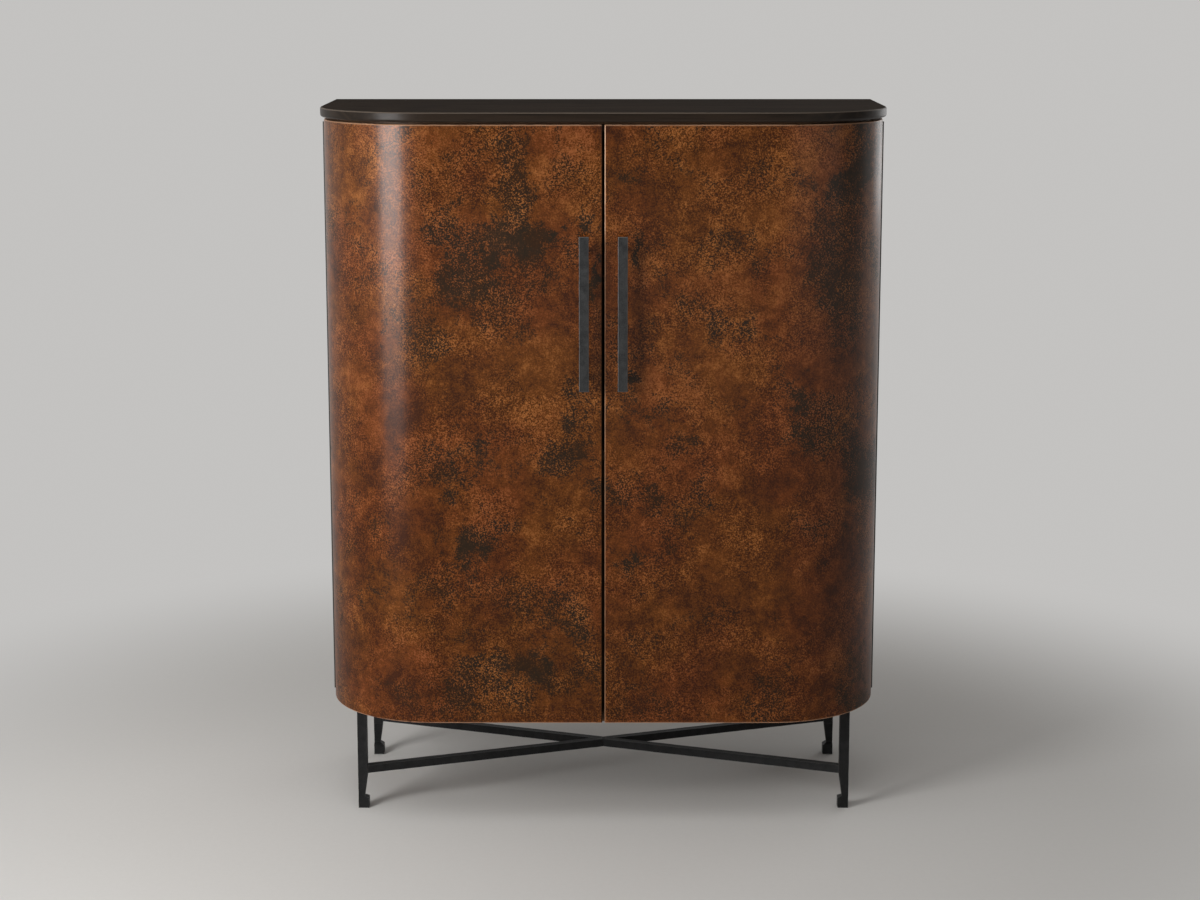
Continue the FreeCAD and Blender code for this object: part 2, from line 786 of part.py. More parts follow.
ease(leg, leg_shaped, "Fillet", given.leg_ease, on_leg_corner)
keep(leg, "front_left_leg")
keep(mirrored("front_right_leg", leg, "x", middle), "front_right_leg")
rear_leg = keep(mirrored("rear_left_leg", leg, "y", stand_middle_y), "rear_left_leg")
keep(mirrored("rear_right_leg", rear_leg, "x", middle), "rear_right_leg")

rail_under = carcass_under - given.rail_thickness
leg_inner_x = leg_from_middle - half_leg
front_rail = board("front_rail", -leg_inner_x, leg_inner_x, leg_outer_y, leg_outer_y + given.leg_section,
                   rail_under, carcass_under)
keep(front_rail, "front_rail")
keep(mirrored("rear_rail", front_rail, "y", stand_middle_y), "rear_rail")
rail_end = leg_outer_y + given.leg_section
left_rail = board("left_rail", leg_outer_x, leg_outer_x + given.leg_section, rail_end,
                  2 * stand_middle_y - rail_end, rail_under, carcass_under)
keep(left_rail, "left_rail")
keep(mirrored("right_rail", left_rail, "x", middle), "right_rail")

slope = (given.leg_spacing / 2) / leg_inner_x
half_bar_y = given.stretcher_section / 2 * root(1 + slope * slope)
near_y = stand_middle_y - given.leg_spacing / 2
far_y = stand_middle_y + given.leg_spacing / 2
rising_bar = [
    (-leg_inner_x, near_y - half_bar_y),
    (leg_inner_x, far_y - half_bar_y),
    (leg_inner_x, far_y + half_bar_y),
    (-leg_inner_x, near_y + half_bar_y),
]
falling_bar = [
    (-leg_inner_x, far_y - half_bar_y),
    (leg_inner_x, near_y - half_bar_y),
    (leg_inner_x, near_y + half_bar_y),
    (-leg_inner_x, far_y + half_bar_y),
]
bar_middle = given.stretcher_underside + given.stretcher_section / 2
lower_bar = lapped_bar("stretcher_lower", "XY_Plane", rising_bar, falling_bar, given.stretcher_underside,
                       given.stretcher_section, bar_middle)
upper_bar = lapped_bar("stretcher_upper", "XY_Plane", falling_bar, rising_bar, given.stretcher_underside,
                       given.stretcher_section, given.stretcher_underside)
for bar in (lower_bar, upper_bar):
    hole = new_sketch(bar, "rivet_hole", "XY_Plane", given.stretcher_underside - given.cutter_margin)
    draw_circle(hole, middle, stand_middle_y, given.rivet_radius + given.rivet_clearance)
    pocket(bar, hole, given.stretcher_section + 2 * given.cutter_margin)
    keep(bar, bar.Label)
keep(rod("stretcher_rivet", given.rivet_radius, given.stretcher_section, middle, stand_middle_y,
         given.stretcher_underside, "up"), "stretcher_rivet")


doc.recompute()
for thing in doc.Objects:
    if "Invalid" in thing.State or "Error" in thing.State:
        raise RuntimeError(f"{thing.Label} did not build: {thing.State}")
for piece in pieces:
    if piece.Shape.isNull() or not piece.Shape.isValid() or not piece.Shape.Solids:
        raise RuntimeError(f"{piece.Label} has no sound solid")

os.makedirs("parts", exist_ok=True)
for piece in pieces:
    piece.Shape.exportStep(f"parts/{piece.Label}.step")
print(f"{len(pieces)} pieces written")
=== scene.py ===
import math

import bmesh
import bpy
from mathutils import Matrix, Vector, noise


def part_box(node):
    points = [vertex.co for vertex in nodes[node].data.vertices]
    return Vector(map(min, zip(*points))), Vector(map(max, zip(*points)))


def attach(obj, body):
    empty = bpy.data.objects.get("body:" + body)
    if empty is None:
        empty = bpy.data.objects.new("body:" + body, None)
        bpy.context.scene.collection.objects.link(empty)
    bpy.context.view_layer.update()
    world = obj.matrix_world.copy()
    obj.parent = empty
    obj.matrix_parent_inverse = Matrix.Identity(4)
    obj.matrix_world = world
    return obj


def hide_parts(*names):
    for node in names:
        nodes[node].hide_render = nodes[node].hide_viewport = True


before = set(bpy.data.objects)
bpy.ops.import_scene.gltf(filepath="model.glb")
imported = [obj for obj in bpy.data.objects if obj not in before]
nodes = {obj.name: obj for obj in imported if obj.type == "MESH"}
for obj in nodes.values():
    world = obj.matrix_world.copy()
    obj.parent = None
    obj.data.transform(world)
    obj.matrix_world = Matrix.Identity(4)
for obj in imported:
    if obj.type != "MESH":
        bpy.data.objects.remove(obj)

scene = bpy.context.scene
for spare in ("Cube", "Light", "Camera"):  # what an empty Blender file starts with
    if spare in bpy.data.objects:
        bpy.data.objects.remove(bpy.data.objects[spare])
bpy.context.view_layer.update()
scene.view_settings.view_transform = "Standard"
print("frame loaded,", len(nodes), "nodes")


class Wire:  # a socket that can stand in a sum
    def __init__(self, finish, socket):
        self.finish, self.socket = finish, socket

    def calc(self, operation, other, swapped=False):
        first, second = (other, self) if swapped else (self, other)
        return self.finish.put("ShaderNodeMath", {"operation": operation}, {0: first, 1: second})

    def __add__(self, other):
        return self.calc("ADD", other)

    def __radd__(self, other):
        return self.calc("ADD", other, True)

    def __sub__(self, other):
        return self.calc("SUBTRACT", other)

    def __rsub__(self, other):
        return self.calc("SUBTRACT", other, True)

    def __mul__(self, other):
        return self.calc("MULTIPLY", other)

    def __rmul__(self, other):
        return self.calc("MULTIPLY", other, True)

    def __abs__(self):
        return self.calc("ABSOLUTE", 0)

    def larger(self, other):
        return self.calc("MAXIMUM", other)


class Finish:  # one node tree, mostly a material with the shader that its nodes feed
    def __init__(self, name, tree=None):
        if tree is None:
            self.material = bpy.data.materials.new(name)
            self.material.use_nodes = True
            tree = self.material.node_tree
        self.tree = tree
        self.tree.nodes.clear()

    def put(self, nodeType, settings=None, sockets=None, out=0):
        node = self.tree.nodes.new(nodeType)
        for key, value in (settings or {}).items():
            if key == "stops":
                stops = node.color_ramp.elements
                while len(stops) < len(value):
                    stops.new(0.5)
                for stop, (position, colour) in zip(stops, value):
                    stop.position, stop.color = position, (*colour, 1)
            else:
                setattr(node, key, value)
        for key, value in (sockets or {}).items():
            if isinstance(value, Wire):
                self.tree.links.new(value.socket, node.inputs[key])
            elif isinstance(value, tuple) and len(value) == 3 and node.inputs[key].type == "RGBA":
                node.inputs[key].default_value = (*value, 1)
            else:
                node.inputs[key].default_value = value
        return Wire(self, node.outputs[out]) if len(node.outputs) else None

    def place(self, stretch=(1, 1, 1), shift=(0, 0, 0)):
        here = self.put("ShaderNodeTexCoord", out="Object")
        return self.put("ShaderNodeMapping", None, {
            "Vector": here, "Scale": stretch, "Location": shift})

    def grain(self, vector, scale, detail=4, roughness=0.55, distortion=0.0, out=0):
        return self.put("ShaderNodeTexNoise", None, {
            "Vector": vector, "Scale": scale, "Detail": detail, "Roughness": roughness,
            "Distortion": distortion}, out)

    def step(self, value, low, high):
        return self.put("ShaderNodeMapRange", {"interpolation_type": "SMOOTHSTEP"}, {
            "Value": value, "From Min": low, "From Max": high})

    def mix(self, factor, first, second):
        return self.put("ShaderNodeMix", {"data_type": "RGBA"}, {
            0: factor, 6: first, 7: second}, 2)

    def ramp(self, value, stops):
        return self.put("ShaderNodeValToRGB", {"stops": stops}, {0: value})

    def vector(self, operation, first, second, out=0):
        return self.put("ShaderNodeVectorMath", {"operation": operation}, {
            0: first, 1: second}, out)

    def split(self, vector, axis):
        return self.put("ShaderNodeSeparateXYZ", None, {0: vector}, axis)

    def bump(self, height, distance, strength):
        return self.put("ShaderNodeBump", None, {
            "Height": height, "Distance": distance, "Strength": strength}, "Normal")

    def close(self, sockets):
        shader = self.put("ShaderNodeBsdfPrincipled", None, sockets)
        self.put("ShaderNodeOutputMaterial", None, {"Surface": shader})
        return self.material


# Patinated copper: warm mottled brown, dark green-black clouds, fine speckle, clear lacquer, and
# painted shade and painted highlight at some edges, round the pulls and low down
copper = {
    "ochre": ((0.20, (0.044, 0.0112, 0.0014)), (0.52, (0.143, 0.0420, 0.0052)),
              (0.86, (0.355, 0.126, 0.030))),
    "russet": ((0.20, (0.040, 0.0096, 0.0016)), (0.52, (0.135, 0.0340, 0.0052)),
               (0.86, (0.295, 0.090, 0.026))),
    "umber": (0.0220, 0.0100, 0.0026),
    "patina": (0.0135, 0.0100, 0.0046),
    # colour of the rubbed door edges, which on the top edge and on the right door's meeting fold is
    # also a painted highlight
    "brightEdge": (0.60, 0.34, 0.20),
    # noise: shift, then scale, detail, roughness and distortion
    "layers": {
        "large": ((0, 0, 0), 5.2, 8, 0.66, 0.5),
        "patchy": ((3.1, 1.7, 0.4), 15.0, 9, 0.72, 0.3),
        "crumbs": ((2.0, 4.0, 6.0), 55.0, 6, 0.72, 0.4),
        "speckle": ((0, 0, 0), 300.0, 2, 0.75, 0.0),
        "fine": ((0.7, 0.2, 0.9), 560.0, 1, 0.6, 0.0),
        "rough": ((7.0, 2.0, 1.0), 8.5, 5, 0.6, 0.0),
        "drift": ((1.3, 0.6, 2.2), 6.5, 7, 0.64, 0.4),
        "blush": ((5.0, 0.0, 0.0), 24.0, 7, 0.68, 0.0),
        "turn": ((9.0, 3.0, 5.0), 4.2, 5, 0.6, 0.0),
    },
    "sway": {"scale": 7.0, "detail": 5, "roughness": 0.6, "reach": (0.24, 0.0, 0.24)},
    # clouds on the front, given one by one: across, up, half width, half height, weight
    "darkClouds": (
        (-0.235, 1.14, 0.15, 0.13, 1.0),
        (-0.150, 1.27, 0.050, 0.16, 1.1),
        (-0.37, 0.99, 0.05, 0.08, 0.6),
        (-0.33, 0.71, 0.06, 0.06, 0.6),
        (-0.10, 0.75, 0.10, 0.05, 0.9),
        (-0.25, 0.60, 0.07, 0.06, 0.8),
        (-0.15, 0.47, 0.08, 0.06, 0.5),
        (-0.20, 0.29, 0.17, 0.07, 1.0),
        (-0.04, 0.85, 0.035, 0.10, 0.9),
        # the next four lie along the right corner, which faces away from the lamps: stain and
        # painted shade
        (0.475, 1.12, 0.06, 0.22, 1.6),
        (0.505, 1.36, 0.05, 0.08, 1.2),
        (0.505, 0.74, 0.045, 0.16, 0.9),
        (0.505, 0.27, 0.045, 0.07, 0.9),
        (0.25, 1.16, 0.06, 0.04, 0.7),
        (0.25, 0.98, 0.05, 0.04, 0.7),
        (0.39, 0.83, 0.08, 0.07, 0.8),
        (0.11, 0.67, 0.06, 0.03, 0.7),
        (0.04, 0.54, 0.04, 0.03, 0.9),
        (-0.055, 1.205, 0.022, 0.022, 1.5),  # a stain above the left pull; the three after it are painted shadows cast by the pulls and their posts
        (-0.014, 1.10, 0.014, 0.09, 0.9),
        (0.062, 1.15, 0.018, 0.040, 1.1),
        (0.062, 0.915, 0.018, 0.035, 1.1),
    ),
    "warmClouds": (
        (-0.050, 1.33, 0.065, 0.10, 1.9),
        (-0.27, 1.31, 0.06, 0.05, 0.7),
        # the next two are painted highlight on the left corner, beside the lamp's reflection
        (-0.49, 1.15, 0.06, 0.09, 0.7),
        (-0.49, 0.83, 0.06, 0.12, 0.9),
        (-0.11, 0.97, 0.10, 0.09, 0.9),
        (-0.16, 0.85, 0.08, 0.06, 0.7),
        (-0.035, 0.47, 0.05, 0.05, 0.7),
        (0.10, 0.75, 0.11, 0.08, 1.0),
        (0.24, 1.07, 0.08, 0.08, 0.7),
        (0.36, 1.27, 0.06, 0.14, 0.7),
        (0.34, 0.36, 0.07, 0.09, 0.6),
    ),
    "cloudEdge": (1.25, 0.15),  # where a cloud begins and where it is full, in half widths
    "darkCloudWeight": 0.15,
    "warmCloudWeight": 0.11,
    "lowShade": 0.06,  # painted shade: darker and less warm low down
    "lowShadeSpan": (1.15, 0.45),
    # from and to of the soft thresholds
    "gritSpan": (0.38, 0.62),
    "roughSpan": (0.40, 0.60),
    "stainSpan": (0.43, 0.69),
    "darkSpan": (0.22, 0.50),
    "turnSpan": (0.38, 0.62),
    "deepSpan": (0.44, 0.56),
    "rubAndHighlightSpan": (0.28, 0.52),
    # edges: where the door ends, and how far in from there the rubbing and painted highlight, or
    # the painted shade, goes
    "doorTop": 1.3985,
    "doorFoot": 0.2075,
    "meetingHalf": 0.002,
    "edgeRubAndHighlight": (0.0032, 0.0006),
    "meetingRubAndHighlight": (0.0030, 0.0012),
    "foldShade": (0.0026, 0.0014),
    "gapShade": (0.0009, 0.0003),
    "upperSpan": (0.98, 1.28),
    "coat": (0.31, 0.57),  # lacquer low down and at the top
    "coatSpan": (0.55, 1.30),
    "coatRoughness": 0.24,
    "specular": 0.03,
    "bump": (0.0011, 0.35),
}


def clouds(finish, where, spots):
    total = None
    for across, up, halfWidth, halfHeight, weight in spots:
        offset = finish.vector("SUBTRACT", where, (across, 0.0, up))
        scaled = finish.vector("MULTIPLY", offset, (1 / halfWidth, 0.0, 1 / halfHeight))
        away = finish.vector("LENGTH", scaled, (0.0, 0.0, 0.0), 1)
        part = finish.step(away, *copper["cloudEdge"]) * weight
        total = part if total is None else total + part
    return total


def copperFinish():
    f = Finish("patinatedCopper")
    p = f.place()
    across, height = f.split(p, 0), f.split(p, 2)
    layer = {name: f.grain(f.place(shift=shift), *sizes)
             for name, (shift, *sizes) in copper["layers"].items()}
    swayFrom = copper["sway"]
    sway = f.grain(p, swayFrom["scale"], swayFrom["detail"], swayFrom["roughness"], out=1)
    sway = f.vector("SUBTRACT", sway, (0.5, 0.5, 0.5))
    swayed = f.vector("ADD", p, f.vector("MULTIPLY", sway, swayFrom["reach"]))

    crumbs = layer["crumbs"] - 0.5
    rough = f.step(layer["rough"], *copper["roughSpan"]) * 0.8 + 0.45
    speckled = f.step(layer["speckle"], *copper["gritSpan"]) * 0.62
    speckled = speckled + f.step(layer["fine"], *copper["gritSpan"]) * 0.38
    grit = (speckled - 0.5) * rough

    darkClouds = clouds(f, swayed, copper["darkClouds"]) * copper["darkCloudWeight"]
    stainLevel = layer["large"] * 0.50 + layer["patchy"] * 0.50 + darkClouds
    stain = f.step(stainLevel, *copper["stainSpan"])
    worn = crumbs * 0.9 + grit * 1.1  # bright metal shows through the stain
    dark = f.step(stain * 0.60 - worn * (stain * 0.55 + 0.3), *copper["darkSpan"])

    warmth = layer["drift"] * 0.70 + layer["blush"] * 0.85 - 0.28
    warmth = warmth + clouds(f, swayed, copper["warmClouds"]) * copper["warmCloudWeight"]
    # painted shade: darker and less warm low down
    warmth = warmth - f.step(height, *copper["lowShadeSpan"]) * copper["lowShade"]
    warmLevel = warmth + grit * 0.56 + crumbs * 0.7 - 0.05
    turn = f.step(layer["turn"], *copper["turnSpan"])
    warm = f.mix(turn, f.ramp(warmLevel, copper["ochre"]), f.ramp(warmLevel, copper["russet"]))
    deep = f.mix(f.step(layer["drift"], *copper["deepSpan"]), copper["umber"], copper["patina"])
    colour = f.mix(dark * 0.9, warm, deep)

    fromTop = copper["doorTop"] - height
    fromFoot = height - copper["doorFoot"]
    fromGap = abs(across) - copper["meetingHalf"]
    rightDoor = f.step(across, -0.001, 0.001)
    upper = f.step(height, *copper["upperSpan"])
    # rubbed top and foot edges, also a painted highlight; on the right door's meeting fold,
    # stronger higher up, a painted highlight where it faces the lamps, with some rubbing
    rubAndHighlight = f.step(fromTop, *copper["edgeRubAndHighlight"]).larger(f.step(fromFoot, *copper["edgeRubAndHighlight"]))
    meetingRubAndHighlightMask = f.step(fromGap, *copper["meetingRubAndHighlight"]) * rightDoor * (upper * 0.76 + 0.44)
    rubAndHighlight = rubAndHighlight.larger(meetingRubAndHighlightMask) * f.step(layer["patchy"], *copper["rubAndHighlightSpan"]) * 0.85
    colour = f.mix(rubAndHighlight, colour, copper["brightEdge"])
    # painted shade: patina colour on the left door's meeting fold, more low down, and in the gap,
    # with the lacquer taken off where it lies
    foldAndGapShade = f.step(fromGap, *copper["foldShade"]) * (1 - rightDoor) * (1 - upper * 0.6)
    foldAndGapShade = foldAndGapShade.larger(f.step(fromGap, *copper["gapShade"]))  # painted shade on the left door's fold, which faces away from the lamps, and in the gap
    colour = f.mix(foldAndGapShade * 0.9, colour, copper["patina"])

    coatLow, coatTop = copper["coat"]
    coat = f.step(height, *copper["coatSpan"]) * (coatTop - coatLow) + coatLow
    skin = layer["speckle"] * 0.6 + layer["fine"] * 0.4
    return f.close({
        "Base Color": colour,
        "Metallic": 0.12 - dark * 0.08,
        "Roughness": 0.42 + dark * 0.12 + grit * 0.06,
        "Coat Weight": coat * (1 - foldAndGapShade),
        "Coat Roughness": copper["coatRoughness"],
        "Specular IOR Level": copper["specular"],
        "Normal": f.bump(skin, *copper["bump"]),
    })


# Wood of the carcass and of the slab: bands along the grain, pores and a slow drift
woodTones = {
    "cabinet": {
        "light": (0.185, 0.097, 0.047),
        "dark": (0.074, 0.035, 0.0168),
        "pore": (0.022, 0.011, 0.006),
        "roughness": 0.46,
        "specular": 0.35,
    },
    "slab": {
        "light": (0.026, 0.0172, 0.0116),
        "dark": (0.0130, 0.0088, 0.0060),
        "pore": (0.006, 0.0045, 0.0035),
        "roughness": 0.38,
        "specular": 0.045,
        "topRoughness": 0.56,  # added on the flat top, which is matt
        "edgeCoat": 0.23,
        # painted highlight, with some rubbing, on the rounded edge of the top
        "arrisHighlight": (0.120, 0.095, 0.074),
        # by how far a face looks up: 0 is an upright edge, 1 the flat top
        "arrisHighlightFrom": (0.12, 0.45),
        "arrisHighlightTo": (0.985, 0.85),
        "flatTop": (0.93, 0.99),
        "uprightEdge": (0.60, 0.20),
    },
}
woodGrain = {
    "bandsAlong": 0.07,  # how far the pattern is drawn out along the board
    "fibreAlong": 0.018,
    # noise: scale, detail, roughness and distortion
    "broad": (9.0, 3, 0.5, 1.1),
    "fibre": (420.0, 3, 0.6),
    "pores": (760.0, 2, 0.5),
    "drift": (2.6, 3),
    "bandCount": 62.0,
    "poreShift": (2, 1, 3),
    "poreSpan": (0.60, 0.72),
    "coatRoughness": 0.26,
    "bump": (0.0004, 0.35),
}


def drawnOut(along, share):
    stretch = [1.0, 1.0, 1.0]
    stretch[along] = share
    return tuple(stretch)


def woodFinish(name, tones, along):
    f = Finish(name)
    fibreStretch = drawnOut(along, woodGrain["fibreAlong"])
    p = f.place(drawnOut(along, woodGrain["bandsAlong"]))
    wave = f.grain(p, *woodGrain["broad"]) * woodGrain["bandCount"]
    bands = f.put("ShaderNodeMath", {"operation": "SINE"}, {0: wave}) * 0.5 + 0.5
    fibre = f.grain(f.place(fibreStretch), *woodGrain["fibre"])
    pores = f.grain(f.place(fibreStretch, woodGrain["poreShift"]), *woodGrain["pores"])
    pores = f.step(pores, *woodGrain["poreSpan"])
    tone = bands * 0.42 + fibre * 0.36 + f.grain(f.place(), *woodGrain["drift"]) * 0.30
    colour = f.ramp(tone, ((0.28, tones["dark"]), (0.82, tones["light"])))
    colour = f.mix(pores * 0.8, colour, tones["pore"])
    rough = tones["roughness"] + pores * 0.18 + (fibre - 0.5) * 0.14
    coat = 0.0
    if "arrisHighlight" in tones:  # painted highlight, with some rubbing, where the top turns over its edge
        up = f.split(f.put("ShaderNodeTexCoord", out="Normal"), 2)
        arrisHighlightMask = f.step(up, *tones["arrisHighlightFrom"]) * f.step(up, *tones["arrisHighlightTo"])
        colour = f.mix(arrisHighlightMask * 0.75, colour, tones["arrisHighlight"])
        rough = rough + f.step(up, *tones["flatTop"]) * tones["topRoughness"]
        coat = f.step(up, *tones["uprightEdge"]) * tones["edgeCoat"]
    return f.close({
        "Base Color": colour,
        "Roughness": rough,
        "Specular IOR Level": tones["specular"],
        "Coat Weight": coat,
        "Coat Roughness": woodGrain["coatRoughness"],
        "Normal": f.bump(fibre * 0.5 - pores * 0.8, *woodGrain["bump"]),
    })


# Blackened iron: hammered, a little scale, rubbed lighter along its edges
iron = {
    "handles": {
        "scale": (0.0150, 0.0153, 0.0156),
        "face": (0.050, 0.0503, 0.0503),
        "edge": (0.160, 0.157, 0.152),
        "specular": 0.35,
    },
    # a darker, less rubbed copy of the handle iron: painted shade on the base under the cabinet,
    # and less wear
    "base": {
        "scale": (0.0105, 0.0106, 0.0108),
        "face": (0.0250, 0.0250, 0.0250),
        "edge": (0.056, 0.0555, 0.055),
        "specular": 0.20,
    },
}
ironGrain = {
    "dents": (70.0, 2, 0.45),  # noise: scale, detail and roughness
    "pits": (380.0, 3, 0.65),
    "pitShift": (1, 2, 3),
    "rubAndHighlightSpan": (0.62, 1.05),
    "bump": (0.0016, 0.4),
}


def ironFinish(name, tones):
    f = Finish(name)
    dents = f.grain(f.place(), *ironGrain["dents"])
    pits = f.grain(f.place(shift=ironGrain["pitShift"]), *ironGrain["pits"])
    worn = f.put("ShaderNodeAttribute", {"attribute_name": "wear"}, None, "Fac")
    brightEdge = f.step(worn * 0.75 + pits * 0.5, *ironGrain["rubAndHighlightSpan"])
    colour = f.ramp(dents * 0.45 + pits * 0.55, ((0.34, tones["scale"]), (0.66, tones["face"])))
    colour = f.mix(brightEdge * 0.7, colour, tones["edge"])
    return f.close({
        "Base Color": colour,
        "Metallic": 0.35 + brightEdge * 0.4,
        "Roughness": 0.56 + (pits - 0.5) * 0.3 - brightEdge * 0.14,
        "Specular IOR Level": tones["specular"],
        "Normal": f.bump(dents * 0.7 + pits * 0.3, *ironGrain["bump"]),
    })


# Hinge metal and bright steel: drawn lines along the piece, with smudges
metals = {
    "hinge": {"dark": (0.020, 0.018, 0.016), "light": (0.045, 0.041, 0.037),
              "metallic": 0.6, "roughness": 0.42, "along": 2},
    "bright": {"dark": (0.19, 0.186, 0.178), "light": (0.31, 0.302, 0.29),
               "metallic": 0.9, "roughness": 0.48, "along": 0},
}
metalGrain = {
    "linesAlong": 0.02,
    "lines": (900.0, 3, 0.6),  # noise: scale, detail and roughness
    "smudge": (30.0, 4, 0.6),
    "bump": (0.0003, 0.25),
}


def metalFinish(name, dark, light, metallic, roughness, along):
    f = Finish(name)
    lines = f.grain(f.place(drawnOut(along, metalGrain["linesAlong"])), *metalGrain["lines"])
    smudge = f.grain(f.place(), *metalGrain["smudge"])
    colour = f.ramp(lines * 0.5 + smudge * 0.5, ((0.32, dark), (0.68, light)))
    return f.close({
        "Base Color": colour,
        "Metallic": metallic,
        "Roughness": roughness + (lines - 0.5) * 0.2 + (smudge - 0.5) * 0.16,
        "Normal": f.bump(lines, *metalGrain["bump"]),
    })


plastic = {
    "dark": (0.018, 0.013, 0.010),
    "light": (0.030, 0.022, 0.017),
    "roughness": 0.42,
    "texture": (1500.0, 2, 0.5),  # noise: scale, detail and roughness
    "cloudy": (60.0, 3, 0.5),
    "bump": (0.0002, 0.3),
}


def plasticFinish():
    f = Finish("catchPlastic")
    texture = f.grain(f.place(), *plastic["texture"])
    cloudy = f.grain(f.place(), *plastic["cloudy"])
    return f.close({
        "Base Color": f.ramp(cloudy, ((0.3, plastic["dark"]), (0.7, plastic["light"]))),
        "Roughness": plastic["roughness"] + (texture - 0.5) * 0.3,
        "Normal": f.bump(texture, *plastic["bump"]),
    })


finishes = {
    "copper": copperFinish(),
    "slab": woodFinish("slabWood", woodTones["slab"], 0),
    "woodLevel": woodFinish("cabinetWoodLevel", woodTones["cabinet"], 0),
    "woodUpright": woodFinish("cabinetWoodUpright", woodTones["cabinet"], 2),
    "woodDeep": woodFinish("cabinetWoodDeep", woodTones["cabinet"], 1),
    "handleIron": ironFinish("handleIron", iron["handles"]),
    "baseIron": ironFinish("baseIron", iron["base"]),
    "hinge": metalFinish("hingeMetal", **metals["hinge"]),
    "bright": metalFinish("brightSteel", **metals["bright"]),
    "plastic": plasticFinish(),
}
uprightBoards = ("door_core", "side_panel", "lower_divider", "back_panel")
deepBoards = ("stemware_rail",)
slotFinish = {
    "patinated_copper": "copper", "slab_wood": "slab", "forged_iron": "baseIron",
    "hinge_metal": "hinge", "bright_steel": "bright", "catch_plastic": "plastic",
}


def finishOf(name, slotName):
    if "handle" in name:
        return "handleIron"
    if slotName != "cabinet_wood":
        return slotFinish[slotName]
    if any(word in name for word in uprightBoards):
        return "woodUpright"
    return "woodDeep" if any(word in name for word in deepBoards) else "woodLevel"


for name, node in nodes.items():
    for held in node.material_slots:
        held.material = finishes[finishOf(name, held.material.name)]
print("finishes on", len(nodes), "nodes")


# Meshes: what counts as one point, as one plane, and as a sharp edge (in degrees)
meshing = {
    "merge": 1e-6,
    "sliceSlack": 1e-7,
    "flat": 0.5,
    "sharpForged": 38,
    "sharpDrilled": 30,
    "sharpBoxed": 40,
}


def shaded(mesh, sharpFrom):
    kept = mesh.attributes.get("custom_normal")  # normals of the CAD node no longer fit
    if kept is not None:
        mesh.attributes.remove(kept)
    mesh.shade_smooth()
    mesh.set_sharp_from_angle(angle=math.radians(sharpFrom))


def settled(piece, body):
    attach(piece, body)
    return piece


def newPiece(name, mesh):
    piece = bpy.data.objects.new(name, mesh)
    scene.collection.objects.link(piece)
    return piece


# Forged pieces: the node's own form, sliced along its length and dressed by the hammer inwards
hammering = {
    "bar": {"pitch": 0.0045, "depth": 0.0011, "blows": 42.0},
    "leg": {"pitch": 0.0050, "depth": 0.0008, "blows": 48.0},
    "stretcher": {"pitch": 0.0070, "depth": 0.0007, "blows": 40.0},
}
forging = {
    "left_handle_bar": ("left_door", "bar"),
    "right_handle_bar": ("right_door", "bar"),
    "front_left_leg": ("cabinet", "leg"),
    "front_right_leg": ("cabinet", "leg"),
    "rear_left_leg": ("cabinet", "leg"),
    "rear_right_leg": ("cabinet", "leg"),
    "stretcher_lower": ("cabinet", "stretcher"),
    "stretcher_upper": ("cabinet", "stretcher"),
}
wornEdge = {"band": 0.0028, "turn": 0.14}  # width of a rubbed edge, and the turn that counts as one
fineBlows = 2.6  # how much closer the small dents lie


def longWay(work):  # the direction in which the bar runs
    farthest = max(work.edges, key=lambda edge: edge.calc_length())
    return (farthest.verts[1].co - farthest.verts[0].co).normalized()


def sliced(work, way, levels):
    for level in levels:
        bmesh.ops.bisect_plane(work, geom=work.verts[:] + work.edges[:] + work.faces[:],
                               dist=meshing["sliceSlack"], plane_co=way * level, plane_no=way)


def reachOf(work, way):
    reach = [way.dot(vert.co) for vert in work.verts]
    return min(reach), max(reach)


def forged(name, body, pitch, depth, blows):
    work = bmesh.new()
    work.from_mesh(nodes[name].data)
    bmesh.ops.remove_doubles(work, verts=work.verts, dist=meshing["merge"])
    bmesh.ops.dissolve_limit(work, angle_limit=math.radians(meshing["flat"]),
                             verts=work.verts, edges=work.edges)
    along = longWay(work)
    upright = Vector((1, 0, 0)) if abs(along.z) > 0.9 else Vector((0, 0, 1))
    for way in (upright, along.cross(upright).normalized()):
        low, high = reachOf(work, way)
        sliced(work, way, (low + wornEdge["band"], (low + high) / 2, high - wornEdge["band"]))
    low, high = reachOf(work, along)
    cuts = int((high - low) / pitch)
    sliced(work, along, [low + (high - low) * step / cuts for step in range(1, cuts)])
    work.normal_update()
    wear = [max((edge.calc_face_angle(0.0) for edge in vert.link_edges), default=0.0)
            for vert in work.verts]
    moves = []
    for vert in work.verts:
        place = vert.co * blows
        blow = noise.noise(place) * 0.65 + noise.noise(place * fineBlows) * 0.35
        moves.append(vert.normal * (-depth * (0.5 + 0.5 * blow)))
    for vert, move in zip(work.verts, moves):
        vert.co += move
    bmesh.ops.triangulate(work, faces=work.faces)
    mesh = bpy.data.meshes.new(name + "_forged")
    work.to_mesh(mesh)
    work.free()
    layer = mesh.attributes.new("wear", "FLOAT", "POINT")
    layer.data.foreach_set("value", [min(turn / wornEdge["turn"], 1.0) for turn in wear])
    mesh.materials.append(finishes[finishOf(name, "forged_iron")])
    shaded(mesh, meshing["sharpForged"])
    piece = settled(newPiece(name + "_forged", mesh), body)
    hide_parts(name)


for name, (body, kind) in forging.items():
    forged(name, body, **hammering[kind])
print("forged", len(forging), "iron pieces")


